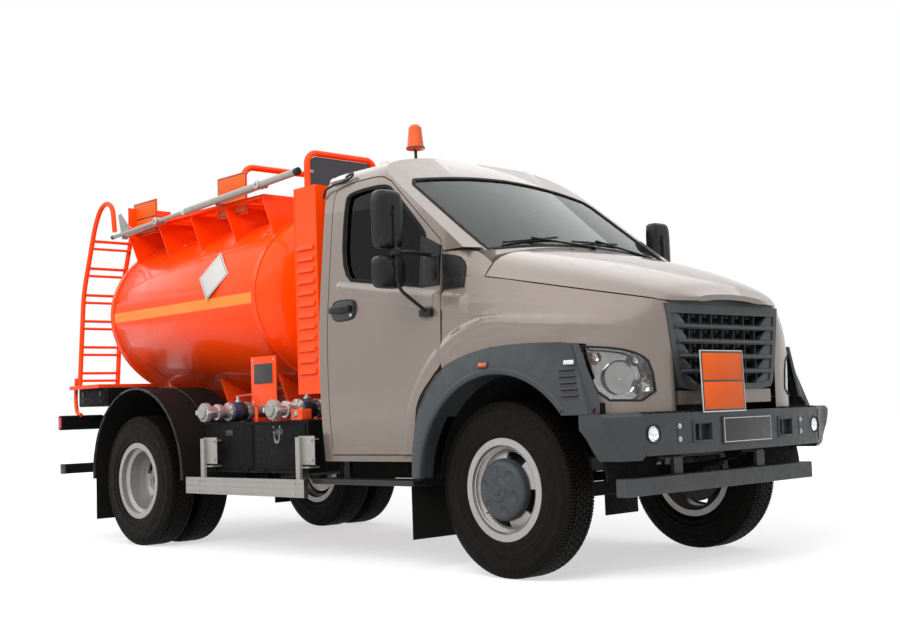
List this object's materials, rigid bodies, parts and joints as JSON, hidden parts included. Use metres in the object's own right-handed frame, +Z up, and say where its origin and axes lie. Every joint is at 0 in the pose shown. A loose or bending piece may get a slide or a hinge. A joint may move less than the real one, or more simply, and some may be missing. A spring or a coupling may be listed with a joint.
{
  "type": "tanker truck",
  "caption": "Bonneted fuel tanker truck with an oval red-orange tank, beige cab, twin rear wheels, rear ladder, folding hand rail and amber roof beacon.",
  "frame": {"origin": "ground level under the middle of the truck's box", "axes": "+X forward, +Y to the truck's left, +Z up"},
  "size_m": [6.25, 2.76, 2.928],
  "materials": {
    "chassis_black": "satin",
    "engine_grey": "matte",
    "tyre_rubber": "matte",
    "wheel_silver": "satin",
    "hub_grey": "satin",
    "cab_paint": "gloss",
    "clear_glass": "gloss",
    "mirror_black": "matte",
    "seat_cloth": "matte",
    "dash_plastic": "matte",
    "grey_plastic": "satin",
    "grille_plastic": "satin",
    "lamp_lens": "gloss",
    "tank_orange": "gloss",
    "bright_metal": "satin",
    "pipe_steel": "satin",
    "amber_lens": "gloss",
    "flap_rubber": "matte"
  },
  "bodies": {
    "chassis": {"frame": "chassis_black", "cross_members": "chassis_black", "front_axle": "chassis_black", "rear_axle": "chassis_black", "leaf_springs": "chassis_black", "engine": "engine_grey", "drive_shaft": "chassis_black", "cab_shell": "cab_paint", "windscreen": "clear_glass", "seats": "seat_cloth", "dashboard": "dash_plastic", "steering_wheel": "mirror_black", "wipers": "mirror_black", "front_wings": "cab_paint", "arch_flares": "grey_plastic", "arch_liners": "flap_rubber", "grille": "grille_plastic", "headlamps": "lamp_lens", "front_bumper": "grey_plastic", "guard_bar": "grey_plastic", "cab_steps": "chassis_black", "beacon": "amber_lens", "tank": "tank_orange", "tank_bands": "tank_orange", "tank_saddles": "tank_orange", "walkway": "tank_orange", "guard_hoops": "tank_orange", "pump_cabinet": "tank_orange", "delivery_pipes": "pipe_steel", "ladder": "tank_orange", "tail_platform": "tank_orange", "tail_beam": "chassis_black", "mudguards": "flap_rubber", "side_lockers": "chassis_black", "side_guards": "bright_metal"},
    "knuckle_right": {"knuckle_right": "chassis_black"},
    "knuckle_left": {"knuckle_left": "chassis_black"},
    "tie_rod": {"tie_rod": "chassis_black"},
    "wheel_front_right": {"tyre_front_right": "tyre_rubber", "rim_front_right": "wheel_silver", "hub_cap_right": "hub_grey"},
    "wheel_front_left": {"tyre_front_left": "tyre_rubber", "rim_front_left": "wheel_silver", "hub_cap_left": "hub_grey"},
    "wheels_rear_right": {"tyres_rear_right": "tyre_rubber", "rims_rear_right": "wheel_silver"},
    "wheels_rear_left": {"tyres_rear_left": "tyre_rubber", "rims_rear_left": "wheel_silver"},
    "door_right": {"door_right": "cab_paint", "door_glass_right": "clear_glass", "mirrors_right": "mirror_black"},
    "door_left": {"door_left": "cab_paint", "door_glass_left": "clear_glass", "mirrors_left": "mirror_black"},
    "bonnet": {"bonnet": "cab_paint", "bonnet_hinges": "engine_grey"},
    "hatch_lid": {"hatch_lid": "tank_orange"},
    "rail_post_rear": {"rail_post_rear": "bright_metal"},
    "rail_post_front": {"rail_post_front": "bright_metal"},
    "hand_rail": {"hand_rail": "bright_metal"}
  },
  "joints": [
    {"name": "steer_right", "type": "hinge", "parent": "chassis", "child": "knuckle_right", "pos_m": [2.175, -0.745, 0.49], "axis": [0, 0, 1], "range_deg": [-32, 32]},
    {"name": "steer_left", "type": "hinge", "parent": "chassis", "child": "knuckle_left", "pos_m": [2.175, 0.745, 0.49], "axis": [0, 0, 1], "range_deg": [-32, 32]},
    {"name": "tie_rod_pin", "type": "hinge", "parent": "knuckle_right", "child": "tie_rod", "pos_m": [2, -0.745, 0.444], "axis": [0, 0, 1], "range_deg": [-32, 32]},
    {"name": "spin_front_right", "type": "hinge", "parent": "knuckle_right", "child": "wheel_front_right", "pos_m": [2.175, -0.87, 0.49], "axis": [0, 1, 0], "continuous": true},
    {"name": "spin_front_left", "type": "hinge", "parent": "knuckle_left", "child": "wheel_front_left", "pos_m": [2.175, 0.87, 0.49], "axis": [0, 1, 0], "continuous": true},
    {"name": "spin_rear_right", "type": "hinge", "parent": "chassis", "child": "wheels_rear_right", "pos_m": [-1.595, -0.845, 0.49], "axis": [0, 1, 0], "continuous": true},
    {"name": "spin_rear_left", "type": "hinge", "parent": "chassis", "child": "wheels_rear_left", "pos_m": [-1.595, 0.845, 0.49], "axis": [0, 1, 0], "continuous": true},
    {"name": "door_hinge_right", "type": "hinge", "parent": "chassis", "child": "door_right", "pos_m": [1.761, -1.032, 1.4], "axis": [0, 0, 1], "range_deg": [0, 68]},
    {"name": "door_hinge_left", "type": "hinge", "parent": "chassis", "child": "door_left", "pos_m": [1.761, 1.032, 1.4], "axis": [0, 0, -1], "range_deg": [0, 68]},
    {"name": "bonnet_hinge", "type": "hinge", "parent": "chassis", "child": "bonnet", "pos_m": [2.077, 0, 1.881], "axis": [0, -1, 0], "range_deg": [0, 50]},
    {"name": "hatch_hinge", "type": "hinge", "parent": "chassis", "child": "hatch_lid", "pos_m": [-1.544, 0, 2.5803], "axis": [0, -1, 0], "range_deg": [0, 105]},
    {"name": "rail_fold_rear", "type": "hinge", "parent": "chassis", "child": "rail_post_rear", "pos_m": [-2.215, -0.826, 2.46], "axis": [0, -1, 0], "range_deg": [0, 84]},
    {"name": "rail_fold_front", "type": "hinge", "parent": "chassis", "child": "rail_post_front", "pos_m": [-0.825, -0.826, 2.535], "axis": [0, -1, 0], "range_deg": [0, 84]},
    {"name": "rail_pivot", "type": "hinge", "parent": "rail_post_rear", "child": "hand_rail", "pos_m": [-1.61646, -0.876, 2.50185], "axis": [0, -1, 0], "range_deg": [-84, 0]}
  ],
  "couplings": [
    {"joint": "steer_left", "follows": "steer_right", "ratio": 1},
    {"joint": "tie_rod_pin", "follows": "steer_right", "ratio": -1},
    {"joint": "rail_fold_front", "follows": "rail_fold_rear", "ratio": 1},
    {"joint": "rail_pivot", "follows": "rail_fold_rear", "ratio": -1}
  ]
}
